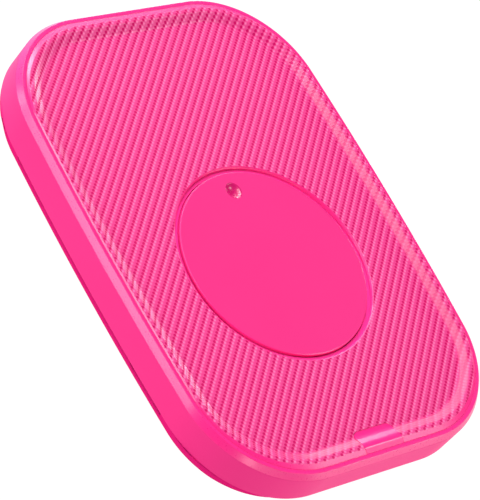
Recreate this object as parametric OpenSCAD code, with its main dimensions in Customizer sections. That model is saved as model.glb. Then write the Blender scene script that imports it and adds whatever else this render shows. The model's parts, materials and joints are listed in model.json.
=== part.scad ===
// Mouse jiggler pad: a flat pad with a slow motor-driven turntable under the mouse.
// Millimetres. Z = 0 is the desk, +Y is the far end with the USB-C inlet, -Y the end with the
// power button, and the origin is under the middle of the pad.
// A profile point is [inset, height]: how far in from the widest outline, and how high above the desk.

/* [Pad outline] */
// Width of the pad across the side walls
pad_w = 93.9; // [90:0.1:98]
// Length of the pad over the end walls
pad_l = 130; // [126:0.5:136]
// Radius of the pad's corners in plan
corner_r = 29.3; // [26:0.1:31]

/* [Side frame and bottom cover] */
// How far the rubber feet stand out below the bottom cover
foot_proud = 0.6; // [0.4:0.05:0.8]
// How far the bottom cover's wall leans in at its lower edge
taper_in = 2.7; // [1.5:0.1:3]
// Height of the leaning wall of the bottom cover
taper_h = 4.6; // [4.4:0.1:4.8]
// Height of the upright side wall
wall_h = 8.1; // [7.9:0.05:8.3]
// Width of the chamfer above the side wall
chamfer_in = 1; // [0.8:0.02:1.2]
// Height of the chamfer above the side wall
chamfer_h = 1.72; // [1.5:0.02:1.9]
// Width of the flat ledge between the chamfer and the top cover
ledge_w = 0.89; // [0.7:0.01:0.9]

/* [Top cover] */
// Height of the top cover's flat face above the desk
flat_z = 14; // [13.95:0.05:14.15]
// Height of the raised lip's top above the desk
lip_z = 15.4; // [15.3:0.05:15.7]
// Inset at which the lip's inner slope meets the flat face
flat_inset = 6.1; // [5.8:0.1:6.6]
// Radius of the lip's outer edge
lip_r = 0.5; // [0.3:0.05:0.6]
// Width of the lip's level top, inside its round edge
lip_w = 0.8; // [0.6:0.1:1.2]
// Thickness of the top cover's plate
cover_t = 1.5; // [1.4:0.05:1.6]

/* [Turntable] */
// Distance of the turntable's centre from the pad's middle, towards the button
turntable_back = 10; // [9:0.5:12]
// Distance of the turntable's centre from the pad's middle, towards the right-hand wall
turntable_side = 1; // [0:0.1:1.5]
// Radius of the turntable disc
disc_r = 25.8; // [25:0.1:26]
// How far the disc's face lies below the cover's flat face
disc_sunk = 0.2; // [0.1:0.05:0.3]
// Clearance between the disc and the cover's round hole
disc_gap = 0.45; // [0.3:0.05:0.6]
// Diameter of the round dimple in the disc
dimple_d = 4.6; // [4:0.1:5]
// Depth of the dimple
dimple_depth = 0.8; // [0.5:0.05:1]
// Distance of the dimple from the disc's centre
dimple_out = 20.7; // [19:0.1:22]

/* [Gear train] */
// Module of all the gears
gear_m = 0.6; // [0.6:0.01:0.6]
// Teeth on the gear under the turntable disc
table_teeth = 60; // [60:12:60]
// Teeth on both small gears: the idler's lower step and the motor pinion
small_teeth = 12; // [12:1:12]
// Teeth on the idler's large step
large_teeth = 36; // [36:12:36]

/* [Power button] */
// Width of the button along the lip
button_w = 12.3; // [11:0.1:13]
// Inset of the button's inner end
button_inset = 8.3; // [8:0.1:9]
// Distance of the button's middle from the pad's middle, towards the right-hand wall
button_side = 0.5; // [0:0.1:1]
// How far the button goes down when pressed
button_travel = 0.3; // [0.2:0.05:0.35]
// How far the button stands above the lip and the flat face
button_proud = 0.12; // [0.05:0.01:0.2]

/* [Hidden] */
$fn = 96;

// Colours
pink = "#fb3e8e";
texture_pink = "#f85aa0";
deep_pink = "#db1e6e";
button_pink = "#fd5aa0";
steel = "#c4c6c9";
brass = "#c9a24f";
nylon = "#f2efe6";
black_plastic = "#26262a";
solder_mask = "#1d6b3c";

eps = 0.01;
fit = 0.1;  // gap between shells that meet

// Heights that stack up from the desk
shell_z = foot_proud;
part_z = shell_z + taper_h;          // where the bottom cover meets the side frame
wall_z = part_z + wall_h;
ledge_z = wall_z + chamfer_h;
under_z = flat_z - cover_t;          // underside of the top cover
floor_z = shell_z + 1.6;             // inside floor of the bottom cover
frame_in = chamfer_in + ledge_w;     // inset of the frame's upper inner face
cover_in = frame_in + fit;           // inset of the top cover's outer face
wall_t = 2.1;                        // thickness of the frame's upright wall
shelf_in = 3.7;                      // inset of the shelf that carries the top cover
shelf_t = 1;
shelf_under = 1.4;                   // height of the slope under the shelf
spigot_t = 1.4;                      // thickness of the bottom cover's upstand
spigot_h = 1.4;

// Turntable
table_x = turntable_side;
table_y = -turntable_back;
disc_z = flat_z - disc_sunk;
hole_r = disc_r + disc_gap;
disc_under = under_z - 0.4;          // top of the disc's flange, below the cover
flange_r = disc_r + 1.8;
flange_t = 1;
gear_z = 5.8;                        // underside of the gear under the disc
gear_t = 2;
hub_r = 8.5;
hub_top = disc_under - flange_t;
spindle_r = 1.5;
bush_r = 2.6;
running = 0.03;                      // radial clearance of a pin in its bush
table_screw_r = 6;                   // circle of the three screws
table_screws = 3;

// Gear train: idler and motor stand in line beyond the turntable
small_r = gear_m * small_teeth / 2;
idler_y = table_y + gear_m * table_teeth / 2 + small_r;
motor_y = idler_y + gear_m * large_teeth / 2 + small_r;
large_z = gear_z + gear_t + 0.5;     // underside of the idler's large step
large_t = 1.8;
idler_pin_r = 1;
idler_boss_top = 5;
addendum = 0.75 * gear_m;
dedendum = 1.15 * gear_m;
backlash = 0.12;
pressure = 20;

// Motor
can_r = 10;
can_top = 7.4;
can_t = 0.6;
ear_x = 14;
ear_r = 2.8;
ear_t = 0.5;
ear_hole_r = 1.1;
motor_pin_r = 0.75;
pinion_z = large_z - 0.1;
pinion_t = 2;

// Case screws sit above the feet
screw_x = 31.5;
screw_y = 48;
post_join_z = 4;                     // where the two covers' posts meet
screw_head_r = 2.1;
screw_head_h = 1.6;
screw_r = 0.95;
screw_tip_z = 11;
foot_r = 5.5;
foot_recess = 0.4;

// Main board at the far end
board_z = 5;
board_t = 1;
board_top = board_z + board_t;
board_w = 34;
board_near = 40.5;
board_far = 61;
board_screw_x = 14.2;
board_screw_y = 43.6;
board_rest_y = 57;
usb_w = 8.94;
usb_h = 3.26;
usb_l = 7.35;
usb_mouth = pad_l / 2 - 0.8;
usb_z = board_top + usb_h / 2;
port_margin = 0.3;
lead_z = board_top + 1.9;
lead_r = 0.35;
lead_pitch = 1;
lead_count = 4;
plug_near = 42.5;
plug_l = 3.4;
plug_w = 5;
plug_h = 2;
terminal_w = 6;
terminal_near = 34;
terminal_far = 38.4;
terminal_low = 3.4;
terminal_top = 6.4;

// Button board at the near end
switch_y = -58;
switch_w = 5.2;
small_board_z = 7.2;
small_board_t = 1;
small_board_top = small_board_z + small_board_t;
small_board_w = 20;
small_board_near = -50;
small_board_far = -60.9;
small_board_screw_x = 6.2;
small_board_screw_y = -52.5;
small_board_rest_y = -59.3;
switch_top = small_board_top + 1.8;
plunger_r = 1.6;
plunger_top = switch_top + 0.8;
stem_r = 1.3;
stem_gap = 0.05;
button_side_gap = 0.15;

// Wires between the two boards, along the right-hand wall
wire_r = 0.5;
wire_pitch = 1.3;
wire_route = [
    [8.5, -51.5, 8.75], [12, -51.5, 8.75], [20, -50, 4], [27, -41, 3], [35, -30, 3], [35, 26, 3],
    [28, 37, 3], [21, 47, 3.5], [19, 50, 6.6], [15, 50, 6.6]
];

// ---- Shapes that repeat ----

// A rectangle with round corners, a given inset inside the pad's outline
module plan(inset) {
    r = corner_r - inset;
    half_x = pad_w / 2 - corner_r;
    half_y = pad_l / 2 - corner_r;
    square([2 * half_x, pad_l - 2 * inset], center = true);
    square([pad_w - 2 * inset, 2 * half_y], center = true);
    for (x = [-half_x, half_x], y = [-half_y, half_y])
        translate([x, y]) circle(r);
}

// A profile of [inset, height] points carried right round the pad
module round_the_pad(profile) {
    half_x = pad_w / 2 - corner_r;
    half_y = pad_l / 2 - corner_r;
    corners = [[half_x, half_y, 0], [-half_x, half_y, 90], [-half_x, -half_y, 180], [half_x, -half_y, 270]];
    outline = [for (p = profile) [corner_r - p[0], p[1]]];
    for (c = corners)
        translate([c[0], c[1], 0]) rotate([0, 0, c[2]]) rotate_extrude(angle = 90) polygon(outline);
    for (side = [0, 1])
        rotate([0, 0, 180 * side]) {
            translate([half_x, 0, 0]) rotate([90, 0, 0])
                linear_extrude(height = 2 * half_y, center = true) polygon(outline);
            translate([0, half_y, 0]) rotate([90, 0, 90])
                linear_extrude(height = 2 * half_x, center = true) polygon(outline);
        }
}

// A round bar between two heights, hollow when a bore is given
module tube(r, low, high, bore = 0) {
    translate([0, 0, low]) difference() {
        cylinder(r = r, h = high - low);
        if (bore > 0) translate([0, 0, -eps]) cylinder(r = bore, h = high - low + 2 * eps);
    }
}

// A block between two corners
module block(low, high) {
    translate(low) cube([high[0] - low[0], high[1] - low[1], high[2] - low[2]]);
}

// A screw, head down: its shank points up
module screw_up(head_r, head_h, shank_r, low, tip) {
    slot_w = head_r * 0.3;
    difference() {
        tube(head_r, low, low + head_h);
        for (turn = [0, 90])
            rotate([0, 0, turn]) translate([0, 0, low + head_h / 4])
                cube([head_r * 1.3, slot_w, head_h / 2 + eps], center = true);
    }
    tube(shank_r, low + head_h - eps, tip);
}

// A screw, head up: its shank points down
module screw_down(head_r, head_h, shank_r, top, tip) {
    mirror([0, 0, 1]) screw_up(head_r, head_h, shank_r, -top, -tip);
}

// The involute angle of a flank at pressure angle a, in degrees
function involute(a) = tan(a) * 180 / PI - a;

// Half of a tooth's angle at radius r, for a gear of pitch radius p and n teeth
function half_tooth(r, p, n) =
    let (base = p * cos(pressure),
         reach = max(r, base),
         at_pitch = 90 / n - backlash / 2 / p * 180 / PI)
    at_pitch + involute(pressure) - involute(acos(min(1, base / reach)));

// The outline of a spur gear, its first tooth on the X axis
module gear_outline(n) {
    p = gear_m * n / 2;
    root = p - dedendum;
    tip = p + addendum;
    base = max(root, p * cos(pressure));
    steps = [root, base, (base + p) / 2, p, (p + tip) / 2, tip];
    points = [
        for (k = [0 : n - 1], side = [-1, 1], i = [0 : len(steps) - 1])
            let (r = steps[side < 0 ? i : len(steps) - 1 - i],
                 a = 360 / n * k + side * half_tooth(r, p, n))
            [r * cos(a), r * sin(a)]
    ];
    polygon(points);
}

// A vector of length 1
function unit(v) = v / norm(v);

// A point a part t of the way from p[i] to p[i + 1], on a smooth curve through the points
function on_curve(p, i, t) =
    let (last = len(p) - 1, a = p[max(i - 1, 0)], b = p[i], c = p[i + 1], d = p[min(i + 2, last)])
    b + 0.5 * t * ((c - a) + t * ((2 * a - 5 * b + 4 * c - d) + t * (3 * (b - c) + d - a)));

// A list of points made smooth, with a few steps from each point to the next
function smooth_route(p, steps) = concat(
    [for (i = [0 : len(p) - 2], k = [0 : steps - 1]) on_curve(p, i, k / steps)],
    [p[len(p) - 1]]
);

// A wire along a list of points that never runs straight up or down
module wire(points, r) {
    sides = 8;
    last = len(points) - 1;
    rings = [
        for (i = [0 : last])
            let (run = unit(points[min(i + 1, last)] - points[max(i - 1, 0)]),
                 across = unit(cross([0, 0, 1], run)),
                 over = cross(run, across))
            for (k = [0 : sides - 1])
                let (a = 360 / sides * k)
                points[i] + r * (cos(a) * across + sin(a) * over)
    ];
    walls = [
        for (i = [0 : last - 1], k = [0 : sides - 1])
            let (here = i * sides, next = here + sides, k2 = (k + 1) % sides)
            each [[here + k, next + k, next + k2], [here + k, next + k2, here + k2]]
    ];
    near_end = [for (k = [0 : sides - 1]) k];
    far_end = [for (k = [sides - 1 : -1 : 0]) last * sides + k];
    polyhedron(points = rings, faces = concat(walls, [near_end, far_end]));
}

module at_case_screws() {
    for (x = [-screw_x, screw_x], y = [-screw_y, screw_y]) translate([x, y, 0]) children();
}

module at_turntable() { translate([table_x, table_y, 0]) children(); }
module at_idler() { translate([table_x, idler_y, 0]) children(); }
module at_motor() { translate([table_x, motor_y, 0]) children(); }
module at_ears() { for (x = [-ear_x, ear_x]) translate([table_x + x, motor_y, 0]) children(); }

// ---- Shells ----

// The lip: upright outer face, round edge, level top, then a straight slope down to the flat face
function lip_edge(grow) = [
    for (a = [180 : -15 : 90])
        [cover_in + lip_r + (lip_r + grow) * cos(a), lip_z - lip_r + (lip_r + grow) * sin(a)]
];
lip_top_end = cover_in + lip_r + lip_w;
lip_profile = concat(
    [[flat_inset, under_z], [cover_in, under_z]],
    lip_edge(0),
    [[lip_top_end, lip_z], [flat_inset, flat_z]]
);
groove_low = under_z - eps;
groove_top = under_z + 0.9;
core_groove = [[4, groove_low], [5.2, groove_low], [5, groove_top], [4.2, groove_top]];

module top_cover() {
    post_r = 2.8;
    color(texture_pink) difference() {
        union() {
            round_the_pad(lip_profile);
            translate([0, 0, under_z]) linear_extrude(height = cover_t) plan(flat_inset - 0.4);
            at_case_screws() tube(post_r, post_join_z, under_z + eps);
        }
        round_the_pad(core_groove);
        at_turntable() tube(hole_r, under_z - 1, flat_z + 1);
        at_case_screws() tube(screw_r, post_join_z - 1, screw_tip_z);
        translate([button_side, 0, under_z - 1]) linear_extrude(height = 6) button_plan(button_side_gap, 1);
    }
}

module side_frame() {
    frame_profile = [
        [0, part_z], [0, wall_z], [chamfer_in, ledge_z], [frame_in, ledge_z], [frame_in, under_z],
        [shelf_in, under_z], [shelf_in, under_z - shelf_t],
        [wall_t, under_z - shelf_t - shelf_under], [wall_t, part_z]
    ];
    port_w = usb_w + 2 * port_margin;
    port_h = usb_h + 2 * port_margin;
    color(pink) difference() {
        round_the_pad(frame_profile);
        translate([0, pad_l / 2 - 5, usb_z]) rotate([-90, 0, 0])
            linear_extrude(height = 10) rounded_slot(port_w, port_h);
    }
}

module bottom_cover() {
    cover_profile = [
        [taper_in, shell_z], [fit / 2, part_z - fit / 2], [wall_t + fit, part_z - fit / 2],
        [wall_t + fit, part_z + spigot_h], [wall_t + fit + spigot_t, part_z + spigot_h],
        [wall_t + fit + spigot_t, floor_z], [6, floor_z], [6, shell_z]
    ];
    screw_post_r = 3.6;
    color(deep_pink) difference() {
        union() {
            round_the_pad(cover_profile);
            translate([0, 0, shell_z]) linear_extrude(height = floor_z - shell_z) plan(5);
            at_case_screws() tube(screw_post_r, shell_z + foot_recess, post_join_z);
            at_turntable() tube(4, floor_z - eps, gear_z - 0.6);
            at_idler() tube(2.6, floor_z - eps, idler_boss_top);
            at_ears() tube(2.4, floor_z - eps, can_top);
            for (x = [-board_screw_x, board_screw_x]) {
                translate([x, board_screw_y, 0]) tube(2.2, floor_z - eps, board_z);
                translate([x, board_rest_y, 0]) tube(1.5, floor_z - eps, board_z);
            }
            for (x = [-small_board_screw_x, small_board_screw_x]) {
                translate([x, small_board_screw_y, 0]) tube(2, floor_z - eps, small_board_z);
                translate([x, small_board_rest_y, 0]) tube(1.5, floor_z - eps, small_board_z);
            }
        }
        at_case_screws() {
            tube(foot_r + fit, shell_z - 1, shell_z + foot_recess);
            tube(screw_head_r + 0.2, shell_z, shell_z + foot_recess + screw_head_h);
            tube(screw_r + 0.2, shell_z, post_join_z + 1);
        }
        at_turntable() tube(spindle_r, 1.2, gear_z);
        at_idler() tube(idler_pin_r, 1.2, idler_boss_top + 1);
        at_ears() tube(0.8, floor_z + 1, can_top + 1);
        for (x = [-board_screw_x, board_screw_x])
            translate([x, board_screw_y, 0]) tube(0.7, floor_z, board_z + 1);
        for (x = [-small_board_screw_x, small_board_screw_x])
            translate([x, small_board_screw_y, 0]) tube(0.7, small_board_z - 4, small_board_z + 1);
        block([-usb_w / 2 - 1, board_far + 0.1, board_z - 0.3], [usb_w / 2 + 1, pad_l / 2 - wall_t, 9]);
    }
}

module rubber_feet() {
    edge = 0.3;
    foot_top = shell_z + foot_recess;
    color(black_plastic) at_case_screws() rotate_extrude()
        polygon([[0, 0], [foot_r - edge, 0], [foot_r, edge], [foot_r, foot_top], [0, foot_top]]);
}

module case_screws() {
    color(steel) at_case_screws()
        screw_up(screw_head_r, screw_head_h, screw_r, shell_z + foot_recess, screw_tip_z);
}

// ---- Power button ----

// A rectangle whose ends are half circles, lying in the XY plane
module rounded_slot(w, h) {
    square([w - h, h], center = true);
    for (x = [-1, 1]) translate([x * (w - h) / 2, 0]) circle(h / 2);
}

// The button's outline in plan, grown by a gap: straight at the wall, round corners inside.
// It reaches a given length past the top cover's outer face.
module button_plan(gap, reach) {
    corner = 1.6;
    outer = pad_l / 2 - cover_in + reach;
    inner = pad_l / 2 - button_inset - gap;
    half = button_w / 2 + gap;
    translate([-half, -outer]) square([2 * half, outer - inner - corner]);
    translate([-half + corner, -outer]) square([2 * (half - corner), outer - inner]);
    for (x = [-1, 1])
        translate([x * (half - corner), -inner - corner]) circle(corner);
}

module power_button() {
    flange_out = 4.6;
    flange_w = button_w + 2;
    under_lip = under_z + button_travel + 0.3;
    cap = concat(
        [[button_inset, under_z - 0.2], [shelf_in + 0.2, under_z - 0.2], [shelf_in + 0.2, under_lip],
         [cover_in, under_lip]],
        lip_edge(button_proud),
        [[lip_top_end, lip_z + button_proud], [button_inset, flat_z + button_proud]]
    );
    color(button_pink) translate([button_side, 0, 0]) {
        intersection() {
            translate([0, -pad_l / 2, 0]) rotate([90, 0, 90])
                linear_extrude(height = button_w, center = true) polygon(cap);
            linear_extrude(height = 20) button_plan(0, 0);
        }
        block([-flange_w / 2, -pad_l / 2 + flange_out, under_z - 1],
              [flange_w / 2, -pad_l / 2 + button_inset + 0.8, under_z - 0.15]);
        translate([0, switch_y, 0]) tube(stem_r, plunger_top + stem_gap, under_z - 0.9);
    }
}

// ---- Turntable ----

module turntable_disc() {
    edge = 0.35;
    ball_r = (pow(dimple_d / 2, 2) + pow(dimple_depth, 2)) / (2 * dimple_depth);
    color(pink) at_turntable() difference() {
        rotate_extrude() polygon([
            [0, hub_top], [flange_r, hub_top], [flange_r, disc_under], [disc_r, disc_under],
            [disc_r, disc_z - edge], [disc_r - edge * 0.3, disc_z - edge * 0.3],
            [disc_r - edge, disc_z], [0, disc_z]
        ]);
        translate([0, dimple_out, disc_z + ball_r - dimple_depth]) sphere(r = ball_r);
        tube(bush_r, hub_top - 1, hub_top + 0.8);
        at_table_screws() tube(0.8, hub_top - 1, hub_top + 1.6);
    }
}

module at_table_screws() {
    for (i = [0 : table_screws - 1])
        rotate([0, 0, 360 / table_screws * i + 30]) translate([table_screw_r, 0, 0]) children();
}

module turntable_gear() {
    color(nylon) at_turntable() difference() {
        union() {
            translate([0, 0, gear_z]) linear_extrude(height = gear_t) gear_outline(table_teeth);
            tube(hub_r, gear_z, hub_top);
        }
        tube(bush_r, gear_z - 1, hub_top + 1);
        at_table_screws() {
            tube(0.8, gear_z - 1, hub_top + 1);
            tube(1.7, gear_z - 1, gear_z + 1.1);
        }
    }
}

module gear_screws() {
    color(steel) at_turntable() at_table_screws()
        screw_up(1.6, 1, 0.8, gear_z + 0.1, hub_top + 1.5);
}

module turntable_bush() {
    color(brass) at_turntable() tube(bush_r, gear_z - 0.05, hub_top + 0.7, spindle_r + running);
}

module spindle_pin() {
    color(steel) at_turntable() tube(spindle_r, 1.2, hub_top + 0.6);
}

module thrust_washer() {
    color(nylon) at_turntable() tube(4, gear_z - 0.6, gear_z - 0.1, spindle_r);
}

// ---- Idler ----

module idler_gear() {
    color(nylon) at_idler() difference() {
        union() {
            tube(2.2, idler_boss_top + 0.1, gear_z);
            translate([0, 0, gear_z - 0.1]) rotate([0, 0, 180 / small_teeth])
                linear_extrude(height = large_z - gear_z + 0.2) gear_outline(small_teeth);
            translate([0, 0, large_z]) linear_extrude(height = large_t) gear_outline(large_teeth);
        }
        tube(idler_pin_r + running, idler_boss_top - 1, large_z + large_t + 1);
    }
}

module idler_axle() {
    color(steel) at_idler() tube(idler_pin_r, 1.2, large_z + large_t + 0.45);
}

module idler_washer() {
    color(black_plastic) at_idler()
        tube(2, large_z + large_t + 0.08, large_z + large_t + 0.38, idler_pin_r);
}

// ---- Motor ----

module motor_can() {
    color(steel) at_motor() difference() {
        tube(can_r, floor_z, can_top);
        tube(can_r - can_t, floor_z + can_t, can_top + 1);
    }
}

module motor_flange() {
    color(steel) difference() {
        translate([table_x, motor_y, can_top]) linear_extrude(height = ear_t) {
            circle(can_r);
            square([2 * ear_x, 2 * ear_r], center = true);
            for (x = [-ear_x, ear_x]) translate([x, 0]) circle(ear_r);
        }
        at_motor() tube(1.6, can_top - 1, can_top + 2);
        at_ears() tube(ear_hole_r, can_top - 1, can_top + 2);
    }
}

module motor_bearing() {
    color(brass) at_motor() tube(1.6, can_top - 0.3, can_top + ear_t, motor_pin_r + running);
}

module motor_coil() {
    color("#b5652d") at_motor() tube(can_r - can_t - 0.1, floor_z + can_t + 0.1, can_top - 0.5, 5.5);
}

module motor_magnet() {
    color("#3a3a3e") at_motor() tube(5.1, floor_z + can_t + 0.3, can_top - 0.7, motor_pin_r);
}

module motor_shaft() {
    color(steel) at_motor() tube(motor_pin_r, floor_z + can_t + 0.05, pinion_z + pinion_t + 0.1);
}

module motor_pinion() {
    color(brass) at_motor() difference() {
        translate([0, 0, pinion_z]) rotate([0, 0, 180 / small_teeth])
            linear_extrude(height = pinion_t) gear_outline(small_teeth);
        tube(motor_pin_r, pinion_z - 1, pinion_z + pinion_t + 1);
    }
}

module motor_terminals() {
    color(black_plastic) difference() {
        block([table_x - terminal_w / 2, terminal_near, terminal_low],
              [table_x + terminal_w / 2, terminal_far, terminal_top]);
        at_motor() tube(can_r, 0, can_top);
    }
}

module motor_screws() {
    top = can_top + ear_t;
    color(steel) at_ears() screw_down(1.9, 1, 0.8, top + 1, floor_z + 1.2);
}

// ---- Main board ----

module main_board() {
    color(solder_mask) difference() {
        block([-board_w / 2, board_near, board_z], [board_w / 2, board_far, board_top]);
        for (x = [-board_screw_x, board_screw_x])
            translate([x, board_screw_y, 0]) tube(1.1, board_z - 1, board_top + 1);
    }
}

module usb_outline(grow) {
    w = usb_w + 2 * grow;
    h = usb_h + 2 * grow;
    rounded_slot(w, h);
}

module usb_shell() {
    sheet = 0.3;
    color(steel) translate([0, usb_mouth, usb_z]) rotate([90, 0, 0]) linear_extrude(height = usb_l)
        difference() {
            usb_outline(0);
            usb_outline(-sheet);
        }
}

module usb_tongue() {
    sheet = 0.3;
    block_l = 1.8;
    tongue_w = 6.7;
    tongue_t = 0.7;
    color(black_plastic) {
        translate([0, usb_mouth - usb_l + block_l, usb_z]) rotate([90, 0, 0])
            linear_extrude(height = block_l) usb_outline(-sheet);
        block([-tongue_w / 2, usb_mouth - usb_l + block_l - 0.2, usb_z - tongue_t / 2],
              [tongue_w / 2, usb_mouth - 0.9, usb_z + tongue_t / 2]);
    }
}

// A chip with legs along two sides
module chip(w, l, h, legs) {
    leg_w = 0.4;
    leg_out = 0.9;
    pitch = w / legs;
    translate([-w / 2, -l / 2, 0.1]) cube([w, l, h]);
    for (i = [0 : legs - 1], side = [-1, 1])
        translate([(i - (legs - 1) / 2) * pitch, side * (l / 2 + leg_out / 2), 0.25])
            cube([leg_w, leg_out + 0.2, 0.5], center = true);
}

module controller_chip() {
    color(black_plastic) translate([-9, 52.5, board_top]) chip(5, 4.4, 1.3, 4);
}

module driver_chip() {
    color(black_plastic) translate([9, 51.5, board_top]) chip(6, 4, 1.4, 5);
}

module board_parts() {
    color("#b89b72") {
        for (i = [0 : 3])
            translate([-13 + 2.4 * i, 47.2, board_top]) chip_block(1, 0.6, 0.5);
        for (i = [0 : 2])
            translate([6.5 + 2.4 * i, 57.5, board_top]) chip_block(1.2, 2, 1.1);
        translate([-8, 58, board_top]) chip_block(3, 3, 1.6);
    }
}

module chip_block(w, l, h) {
    translate([-w / 2, -l / 2, 0]) cube([w, l, h]);
}

module board_screws() {
    color(steel) {
        for (x = [-board_screw_x, board_screw_x])
            translate([x, board_screw_y, 0]) screw_down(1.8, 0.9, 0.7, board_top + 0.9, floor_z + 0.2);
        for (x = [-small_board_screw_x, small_board_screw_x])
            translate([x, small_board_screw_y, 0])
                screw_down(1.5, 0.9, 0.7, small_board_top + 0.9, small_board_z - 3.8);
    }
}

module motor_socket() {
    wall = 0.5;
    near = plug_near + 1;
    far = plug_near + plug_l + wall;
    half = plug_w / 2 + wall;
    color(nylon) translate([table_x, 0, 0]) difference() {
        block([-half, near, board_top], [half, far, lead_z + plug_h / 2 + wall]);
        block([-plug_w / 2, near - 1, lead_z - plug_h / 2],
              [plug_w / 2, plug_near + plug_l, lead_z + plug_h / 2]);
    }
}

module motor_plug() {
    color(nylon) translate([table_x, 0, 0])
        block([-plug_w / 2, plug_near, lead_z - plug_h / 2],
              [plug_w / 2, plug_near + plug_l, lead_z + plug_h / 2]);
}

module motor_leads() {
    bend = 1.1;
    rise_y = terminal_far - 1.2;
    color("#d8d8d8") for (i = [0 : lead_count - 1])
        translate([table_x + (i - (lead_count - 1) / 2) * lead_pitch, 0, 0]) {
            translate([0, rise_y, 0]) tube(lead_r, terminal_top, lead_z - bend);
            translate([0, rise_y + bend, lead_z - bend]) rotate([90, 0, 90])
                rotate([0, 0, 90]) rotate_extrude(angle = 90) translate([bend, 0]) circle(lead_r, $fn = 24);
            translate([0, rise_y + bend, lead_z]) rotate([-90, 0, 0])
                cylinder(r = lead_r, h = plug_near - rise_y - bend, $fn = 24);
        }
}

// ---- Button board ----

module button_board() {
    color(solder_mask) difference() {
        block([-small_board_w / 2, small_board_far, small_board_z],
              [small_board_w / 2, small_board_near, small_board_top]);
        for (x = [-small_board_screw_x, small_board_screw_x])
            translate([x, small_board_screw_y, 0]) tube(0.9, small_board_z - 1, small_board_top + 1);
    }
}

module switch_case() {
    color(black_plastic) translate([button_side, switch_y, 0]) difference() {
        block([-switch_w / 2, -switch_w / 2, small_board_top], [switch_w / 2, switch_w / 2, switch_top]);
        tube(plunger_r + 0.08, small_board_top + 0.4, switch_top + 1);
    }
}

module switch_plunger() {
    color(nylon) translate([button_side, switch_y, 0])
        tube(plunger_r, small_board_top + 0.5 + button_travel, plunger_top);
}

module button_leads() {
    color("#c02a3a") for (i = [0, 1])
        wire(smooth_route([for (p = wire_route) p + [0, 0, i * wire_pitch]], 4), wire_r);
}

top_cover();
side_frame();
bottom_cover();
turntable_disc();
power_button();
rubber_feet();
case_screws();
spindle_pin();
turntable_bush();
thrust_washer();
turntable_gear();
gear_screws();
idler_gear();
idler_axle();
idler_washer();
motor_can();
motor_flange();
motor_bearing();
motor_coil();
motor_magnet();
motor_shaft();
motor_pinion();
motor_terminals();
motor_screws();
main_board();
usb_shell();
usb_tongue();
controller_chip();
driver_chip();
board_parts();
board_screws();
motor_socket();
motor_plug();
motor_leads();
button_board();
switch_case();
switch_plunger();
button_leads();
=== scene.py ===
# %% [markdown]
# # A mouse jiggler pad, dressed over its frame
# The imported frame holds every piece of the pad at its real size. This lesson keeps that frame as it
# is and gives the outside its looks: a woven texture on the top cover, a satin wall with a bright
# chamfer, a smooth turntable disc and a polished button. Lengths are in metres, so MM turns
# millimetres into them.

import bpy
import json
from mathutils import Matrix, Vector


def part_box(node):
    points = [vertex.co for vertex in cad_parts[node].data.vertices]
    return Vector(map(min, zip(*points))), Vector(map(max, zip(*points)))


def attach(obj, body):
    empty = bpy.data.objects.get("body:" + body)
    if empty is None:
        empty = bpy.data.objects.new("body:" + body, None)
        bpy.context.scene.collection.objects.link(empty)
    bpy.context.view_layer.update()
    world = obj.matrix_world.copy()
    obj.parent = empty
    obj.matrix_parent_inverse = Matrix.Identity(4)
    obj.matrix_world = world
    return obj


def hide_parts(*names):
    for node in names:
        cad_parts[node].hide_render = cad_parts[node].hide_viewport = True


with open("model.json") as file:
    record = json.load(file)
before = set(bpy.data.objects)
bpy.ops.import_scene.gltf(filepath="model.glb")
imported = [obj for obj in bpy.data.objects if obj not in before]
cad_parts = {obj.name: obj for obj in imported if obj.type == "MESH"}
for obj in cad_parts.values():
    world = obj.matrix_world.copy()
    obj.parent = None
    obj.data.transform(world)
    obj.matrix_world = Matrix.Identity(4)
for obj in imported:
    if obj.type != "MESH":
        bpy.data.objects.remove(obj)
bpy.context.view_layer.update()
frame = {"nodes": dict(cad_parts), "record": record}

# %% Units and modules
import json
import math

import bpy
from mathutils import Quaternion, Vector

MM = 0.001
NODES = frame["nodes"]


# %% [markdown]
# The camera stands left of the pad and above it, and it is rolled, so that the pad runs from the
# upper left of the picture to the lower right. A long lens keeps the pad's sides nearly parallel.

# %% Camera
CAMERA_PLACE = Vector((-451.872, -210.621, 472.535)) * MM
CAMERA_AIM = Vector((-0.9426, -2.2129, 7.5)) * MM
CAMERA_ROLL = math.radians(42.4999)
CAMERA_LENS = 204.647
CAMERA_SHIFT = (-0.001, 0.001)
SENSOR_WIDTH = 36
CLIP_NEAR, CLIP_FAR = 0.01, 20

camera_data = bpy.data.cameras.new("camera")
camera_data.lens = CAMERA_LENS
camera_data.sensor_width = SENSOR_WIDTH
camera_data.shift_x, camera_data.shift_y = CAMERA_SHIFT
camera_data.clip_start, camera_data.clip_end = CLIP_NEAR, CLIP_FAR
camera = bpy.data.objects.new("camera", camera_data)
bpy.context.scene.collection.objects.link(camera)
aim = (CAMERA_AIM - CAMERA_PLACE).to_track_quat("-Z", "Y")
camera.rotation_mode = "QUATERNION"
camera.rotation_quaternion = aim @ Quaternion((0, 0, 1), CAMERA_ROLL)
camera.location = CAMERA_PLACE
bpy.context.scene.camera = camera
print("camera", round((CAMERA_AIM - CAMERA_PLACE).length, 3), "m from the pad")


# %% [markdown]
# Every finish is a small tree of nodes. One function adds a node: its settings are given by name,
# and each input is a plain value, another node or one of its outputs. Colours are written as the
# eye sees them on a screen, in hex, and turned to linear light here.

# %% Colour and node helpers
def paint(code):
    """A hex colour as linear red, green, blue and alpha."""
    channels = [int(code[i : i + 2], 16) / 255 for i in (1, 3, 5)]
    return [c / 12.92 if c <= 0.04045 else ((c + 0.055) / 1.055) ** 2.4 for c in channels] + [1]


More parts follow.
